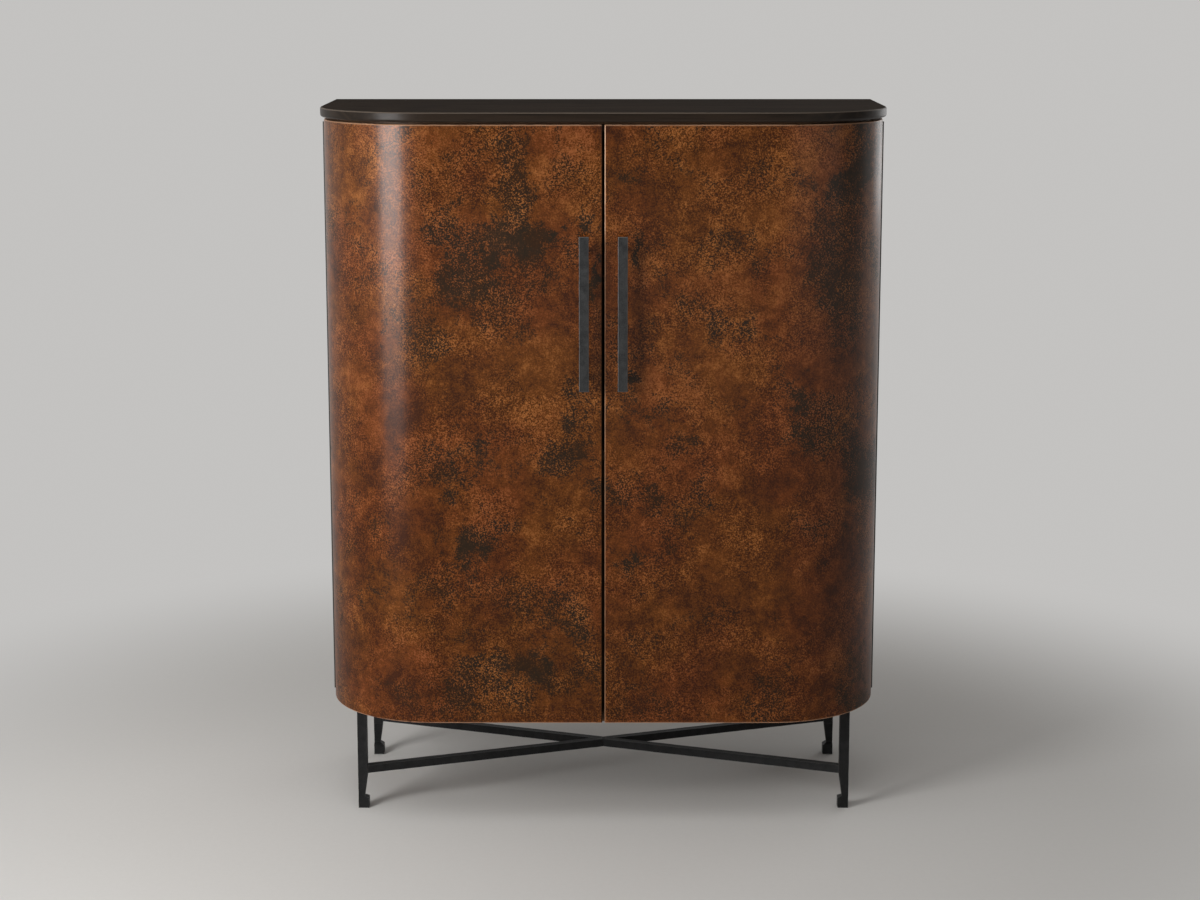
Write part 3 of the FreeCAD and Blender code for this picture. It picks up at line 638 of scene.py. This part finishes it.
# Screws: a crossed head just under flush in a dished seat, or standing on the face as a pan head
screws = {
    "backPanel": {"radius": 0.0042, "depth": 0.0026, "slot": 0.0011, "inset": 0.012,
                  "across": 6, "up": 7},
    "hingeLeaf": {"radius": 0.0031, "depth": 0.0012, "slot": 0.0008, "count": 13, "end": 0.030,
                  "fromEdge": 0.0075, "doorFace": -0.0060, "frameFace": -0.0054},
    "strikePlate": {"radius": 0.0028, "depth": 0.0010, "slot": 0.0008, "inset": 0.008},
    "handleBolt": {"radius": 0.0060, "depth": 0.0018, "slot": 0.0013, "face": -0.2075},
}
screwHead = {
    "sides": 24,
    "countersunk": (1.0, 0.5),  # top and foot, in head radii
    "pan": (0.68, 1.0),
    "underFlush": 0.00012,
    "crossLength": 1.15,  # in head radii
    "crossDepth": 0.9,  # in head depths
    "seatRadius": 1.08,
    "seatDepth": 0.96,
    "seatLift": 0.00003,
    "spin": 1.57,  # each head stops at its own turn
    "seed": 7,
}
screwSizes = (("Head Radius", "Float"), ("Head Depth", "Float"), ("Slot Width", "Float"),
              ("Seed", "Int"), ("Finish", "Material"))


def socketTree(name):
    tree = bpy.data.node_groups.new(name, "GeometryNodeTree")
    tree.interface.new_socket("Geometry", in_out="INPUT", socket_type="NodeSocketGeometry")
    tree.interface.new_socket("Geometry", in_out="OUTPUT", socket_type="NodeSocketGeometry")
    for label, kind in screwSizes:
        tree.interface.new_socket(label, in_out="INPUT", socket_type="NodeSocket" + kind)
    return tree, Finish("", tree)


def attribute(g, dataType, name):
    return g.put("GeometryNodeInputNamedAttribute", {"data_type": dataType}, {"Name": name})


def standing(g, spots, shape):  # one copy of a shape on each spot, turned to face out
    facing = attribute(g, "FLOAT_VECTOR", "facing")
    turned = g.put("FunctionNodeAlignRotationToVector", {"axis": "Z"}, {"Vector": facing})
    spin = g.put("FunctionNodeRandomValue", {"data_type": "FLOAT"}, {
        2: 0.0, 3: screwHead["spin"], "Seed": g.put("NodeGroupInput", out="Seed")}, 1)
    around = g.put("FunctionNodeAxisAngleToRotation", None, {
        "Axis": (0.0, 0.0, 1.0), "Angle": spin})
    both = g.put("FunctionNodeRotateRotation", {"rotation_space": "LOCAL"}, {
        "Rotation": turned, "Rotate By": around})
    copies = g.put("GeometryNodeInstanceOnPoints", None, {
        "Points": spots, "Instance": shape, "Rotation": both})
    return g.put("GeometryNodeRealizeInstances", None, {"Geometry": copies})


def cone(g, radius, depth, lift, ends):
    top, foot = ends
    shape = g.put("GeometryNodeMeshCone", {"fill_type": "NGON"}, {
        "Vertices": screwHead["sides"], "Radius Top": radius * top,
        "Radius Bottom": radius * foot, "Depth": depth})
    down = g.put("ShaderNodeCombineXYZ", None, {"Z": lift - depth})
    return g.put("GeometryNodeTransform", None, {"Geometry": shape, "Translation": down})


def cutAway(g, whole, tool):
    return g.put("GeometryNodeMeshBoolean", {"operation": "DIFFERENCE", "solver": "MANIFOLD"}, {
        "Mesh 1": whole, "Mesh 2": tool})


def finishTree(tree, g, geometry):
    coated = g.put("GeometryNodeSetMaterial", None, {
        "Geometry": geometry, "Material": g.put("NodeGroupInput", out="Finish")})
    g.put("NodeGroupOutput", None, {"Geometry": coated})
    return tree


def makeScrewTree(name, raised, ends):
    tree, g = socketTree(name)
    radius, depth, slotWidth = (g.put("NodeGroupInput", out=label)
                                for label in ("Head Radius", "Head Depth", "Slot Width"))
    lift = depth if raised else -screwHead["underFlush"]
    head = cone(g, radius, depth, lift, ends)
    rise = g.put("ShaderNodeCombineXYZ", None, {"Z": lift})
    for turned in (0.0, math.pi / 2):
        size = g.put("ShaderNodeCombineXYZ", None, {
            "X": radius * screwHead["crossLength"], "Y": slotWidth,
            "Z": depth * screwHead["crossDepth"]})
        bar = g.put("GeometryNodeMeshCube", None, {"Size": size})
        bar = g.put("GeometryNodeTransform", None, {
            "Geometry": bar, "Translation": rise, "Rotation": (0.0, 0.0, turned)})
        head = cutAway(g, head, bar)
    spots = g.put("NodeGroupInput", out="Geometry")
    return finishTree(tree, g, standing(g, spots, head))


def makeSeatTree():
    tree, g = socketTree("dishedSeats")
    everything = g.put("NodeGroupInput", out="Geometry")
    over = g.put("FunctionNodeCompare", {"data_type": "FLOAT", "operation": "GREATER_THAN"}, {
        0: attribute(g, "FLOAT", "screw"), 1: 0.5})
    parts = {"Geometry": everything, "Selection": over}
    spots = g.put("GeometryNodeSeparateGeometry", {"domain": "POINT"}, parts)
    plate = g.put("GeometryNodeSeparateGeometry", {"domain": "POINT"}, parts, 1)
    radius = g.put("NodeGroupInput", out="Head Radius") * screwHead["seatRadius"]
    depth = g.put("NodeGroupInput", out="Head Depth") * screwHead["seatDepth"]
    seat = cone(g, radius, depth, screwHead["seatLift"], screwHead["countersunk"])
    return finishTree(tree, g, cutAway(g, plate, standing(g, spots, seat)))


screwTree = makeScrewTree("crossedScrews", False, screwHead["countersunk"])
panTree = makeScrewTree("panHeads", True, screwHead["pan"])
seatTree = makeSeatTree()


def grown(name, source, spots, facing, tree, kind, finish):
    work = bmesh.new()
    if source is not None:
        work.from_mesh(source.data)
        bmesh.ops.remove_doubles(work, verts=work.verts, dist=meshing["merge"])
    mark = work.verts.layers.float.new("screw")
    way = work.verts.layers.float_vector.new("facing")
    for spot in spots:
        vert = work.verts.new(spot)
        vert[mark], vert[way] = 1.0, facing
    raw = bpy.data.meshes.new(name)
    work.to_mesh(raw)
    work.free()
    carrier = newPiece(name, raw)
    modifier = carrier.modifiers.new("grow", "NODES")
    modifier.node_group = tree
    values = {"Head Radius": kind["radius"], "Head Depth": kind["depth"],
              "Slot Width": kind["slot"], "Seed": screwHead["seed"], "Finish": finishes[finish]}
    for item in tree.interface.items_tree:
        if item.in_out == "INPUT" and item.name in values:
            modifier[item.identifier] = values[item.name]
    shown = carrier.evaluated_get(bpy.context.evaluated_depsgraph_get())
    mesh = bpy.data.meshes.new_from_object(shown)
    carrier.modifiers.remove(modifier)
    carrier.data = mesh
    mesh.materials.clear()
    mesh.materials.append(finishes[finish])
    mesh.polygons.foreach_set("material_index", [0] * len(mesh.polygons))
    shaded(mesh, meshing["sharpDrilled"])
    return carrier


def screwed(node, body, spots, facing, kind, plateSlot, screwSlot):
    plate = grown(node + "_drilled", nodes[node], spots, facing, seatTree, kind,
                  finishOf(node, plateSlot))
    heads = grown(node + "_screws", None, spots, facing, screwTree, kind, slotFinish[screwSlot])
    settled(plate, body)
    settled(heads, body)
    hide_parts(node)


def evenly(low, high, count):
    return [low + (high - low) * step / (count - 1) for step in range(count)]


def screwBackPanel():
    kind = screws["backPanel"]
    low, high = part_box("back_panel")
    inset = kind["inset"]
    acrossLine = evenly(low.x + inset, high.x - inset, kind["across"])
    upLine = evenly(low.z + inset, high.z - inset, kind["up"])
    spots = [(x, high.y, z) for x in acrossLine for z in (upLine[0], upLine[-1])]
    spots += [(x, high.y, z) for x in (acrossLine[0], acrossLine[-1]) for z in upLine[1:-1]]
    screwed("back_panel", "cabinet", spots, (0, 1, 0), kind, "cabinet_wood", "hinge_metal")


def screwHinges():
    kind = screws["hingeLeaf"]
    for side, sign in (("left", -1), ("right", 1)):
        for leaf, body, face, way in (("door", side + "_door", kind["doorFace"], 1),
                                      ("frame", "cabinet", kind["frameFace"], -1)):
            node = f"{side}_hinge_{leaf}_leaf"
            low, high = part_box(node)
            levels = evenly(low.z + kind["end"], high.z - kind["end"], kind["count"])
            across = sign * (min(abs(low.x), abs(high.x)) + kind["fromEdge"])
            spots = [(across, face, z) for z in levels]
            screwed(node, body, spots, (0, way, 0), kind, "hinge_metal", "hinge_metal")


def screwStrikePlates():
    kind = screws["strikePlate"]
    for side in ("left", "right"):
        node = side + "_strike_plate"
        low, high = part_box(node)
        middle = (low.z + high.z) / 2
        spots = [(x, high.y, middle) for x in (low.x + kind["inset"], high.x - kind["inset"])]
        screwed(node, side + "_door", spots, (0, 1, 0), kind, "bright_steel", "bright_steel")


def boltHandles():
    kind = screws["handleBolt"]
    for side in ("left", "right"):
        spots = []
        for post in ("lower", "upper"):
            low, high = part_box(f"{side}_handle_post_{post}")
            spots.append(((low.x + high.x) / 2, kind["face"], (low.z + high.z) / 2))
        heads = grown(side + "_handle_bolts", None, spots, (0, 1, 0), panTree, kind, "bright")
        settled(heads, side + "_door")


screwBackPanel()
screwHinges()
screwStrikePlates()
boltHandles()
print("screws set")


# Magnetic catches: a rounded case with two pole strips that reach to the strike plate
catches = {
    "rounding": 0.0014,
    "setBack": 0.0012,
    "poleInset": 0.0040,
    "poleHigh": 0.0016,
    "polesApart": 0.0056,
    "poleDeep": 0.010,
    "poleRounding": 0.0002,
}


def boxed(name, boxes, rounding, slotName):
    work = bmesh.new()
    for low, high in boxes:
        for vert in bmesh.ops.create_cube(work, size=1.0)["verts"]:
            vert.co = [near + (far - near) * (share + 0.5)
                       for near, far, share in zip(low, high, vert.co)]
    bmesh.ops.bevel(work, geom=work.edges[:], offset=rounding, segments=3, profile=0.5,
                    affect="EDGES")
    mesh = bpy.data.meshes.new(name)
    work.to_mesh(mesh)
    work.free()
    mesh.materials.append(finishes[slotFinish[slotName]])
    shaded(mesh, meshing["sharpBoxed"])
    return settled(newPiece(name, mesh), "cabinet")


def makeCatches():
    inset, high = catches["poleInset"], catches["poleHigh"]
    for side in ("left", "right"):
        node = side + "_catch"
        near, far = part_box(node)
        caseBox = ((near.x, near.y + catches["setBack"], near.z), tuple(far))
        middle = (near.z + far.z) / 2
        poleBoxes = []
        for level in (middle - catches["polesApart"] / 2, middle + catches["polesApart"] / 2):
            poleBoxes.append(((near.x + inset, near.y, level - high / 2),
                              (far.x - inset, near.y + catches["poleDeep"], level + high / 2)))
        case = boxed(node + "_case", [caseBox], catches["rounding"], "catch_plastic")
        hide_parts(node)
        boxed(node + "_poles", poleBoxes, catches["poleRounding"], "bright_steel")


makeCatches()
print("catches made")


# Floor, light and camera
studio = {
    "seen": 0.55,  # backdrop behind the piece
    "lit": 0.28,
    "front": 0.15,  # the room in front of it and to its right
    "frontEdge": (0.985, 0.920),
    "tint": (1.0, 0.985, 0.965),
    "floorColour": (0.66, 0.645, 0.622),
    "fleckColour": (0.30, 0.29, 0.28),
    "fleck": (90.0, 5, 0.65),  # noise: scale, detail and roughness
    "floorHalf": 30.0,
    "fade": (0.95, 2.1),  # from floor to backdrop
    "darkFrom": (9.0, 13.0),  # how far out the floor turns as dark as that room
}
lamps = {  # level is the brightness of the lit face
    "stripLamp": {"place": (-2.18, -2.11, 1.64), "aim": (-0.35, -0.20, 1.45),
                  "width": 1.08, "height": 1.60, "level": 11.7},
    "lowLamp": {"place": (-2.18, -2.11, 0.53), "aim": (-0.35, -0.20, 0.60),
                "width": 1.08, "height": 0.62, "level": 3.9},
    "sideLamp": {"place": (-3.30, -1.20, 1.70), "aim": (0.0, 0.0, 0.9),
                 "width": 1.60, "height": 2.20, "level": 0.3},
    "fillLamp": {"place": (2.60, 3.00, 1.90), "aim": (0.0, 0.0, 0.8),
                 "width": 1.80, "height": 2.20, "level": 1.4},
    "topLamp": {"place": (-0.60, -0.90, 3.60), "aim": (0.0, 0.0, 0.6),
                "width": 3.00, "height": 2.40, "level": 1.3},
}
cameraSet = {"lens": 71.84, "sensor": 36.0, "shift": (-0.0028, -0.030),
             "place": (0.0, -4.8266, 1.6839), "pitch": 10.44}


def studioLevel(f, facing, far):
    path = f.put("ShaderNodeLightPath", out="Is Camera Ray")
    glossy = f.put("ShaderNodeLightPath", out="Is Glossy Ray")
    through = f.put("ShaderNodeLightPath", out="Is Transmission Ray")
    seen = path.larger(glossy).larger(through)
    level = f.vector("MULTIPLY", facing, (1.0, 1.0, 0.0))
    level = f.vector("NORMALIZE", level, (0.0, 0.0, 0.0))
    edge, inside = studio["frontEdge"]
    aside = f.step(f.split(level, 1), -edge, -inside) * f.step(f.split(level, 0), edge, inside)
    pale = seen * (studio["seen"] - studio["lit"]) + studio["lit"]
    return pale - (1 - aside) * (pale - studio["front"]) * far


def glow(f, level):
    return f.mix(level, (0.0, 0.0, 0.0), studio["tint"])


def makeWorld():
    world = bpy.data.worlds.new("paleStudio")
    world.use_nodes = True
    f = Finish("", world.node_tree)
    facing = f.put("ShaderNodeTexCoord", out="Generated")
    light = f.put("ShaderNodeBackground", None, {"Color": glow(f, studioLevel(f, facing, 1.0))})
    f.put("ShaderNodeOutputWorld", None, {"Surface": light})
    scene.world = world


def makeFloor():
    half = studio["floorHalf"]
    mesh = bpy.data.meshes.new("floor")
    corners = [(-half, -half, 0), (half, -half, 0), (half, half, 0), (-half, half, 0)]
    mesh.from_pydata(corners, [], [(0, 1, 2, 3)])
    f = Finish("paleFloor")
    p = f.place()
    fleck = f.grain(p, *studio["fleck"])
    colour = f.mix(fleck * 0.10, studio["floorColour"], studio["fleckColour"])
    near = f.put("ShaderNodeBsdfDiffuse", None, {"Color": colour})
    away = f.vector("LENGTH", p, (0.0, 0.0, 0.0), 1)
    level = studioLevel(f, p, f.step(away, *studio["darkFrom"]))
    far = f.put("ShaderNodeEmission", None, {"Color": glow(f, level)})
    both = f.put("ShaderNodeMixShader", None, {0: f.step(away, *studio["fade"]), 1: near, 2: far})
    f.put("ShaderNodeOutputMaterial", None, {"Surface": both})
    mesh.materials.append(f.material)
    newPiece("floor", mesh)


def makeLamp(name, place, aim, width, height, level):
    data = bpy.data.lights.new(name, "AREA")
    data.shape = "RECTANGLE"
    data.size, data.size_y = width, height
    data.energy = level * math.pi * width * height
    lamp = newPiece(name, data)
    lamp.location = place
    lamp.rotation_euler = (Vector(aim) - Vector(place)).to_track_quat("-Z", "Y").to_euler()
    lamp.visible_camera = False


def makeCamera():
    data = bpy.data.cameras.new("camera")
    data.sensor_fit = "HORIZONTAL"
    data.sensor_width = cameraSet["sensor"]
    data.lens = cameraSet["lens"]
    data.shift_x, data.shift_y = cameraSet["shift"]
    data.dof.use_dof = False
    camera = newPiece("camera", data)
    camera.location = cameraSet["place"]
    camera.rotation_euler = (math.radians(90 - cameraSet["pitch"]), 0.0, 0.0)
    scene.camera = camera


makeWorld()
makeFloor()
for name, sizes in lamps.items():
    makeLamp(name, **sizes)
makeCamera()
print("studio ready")
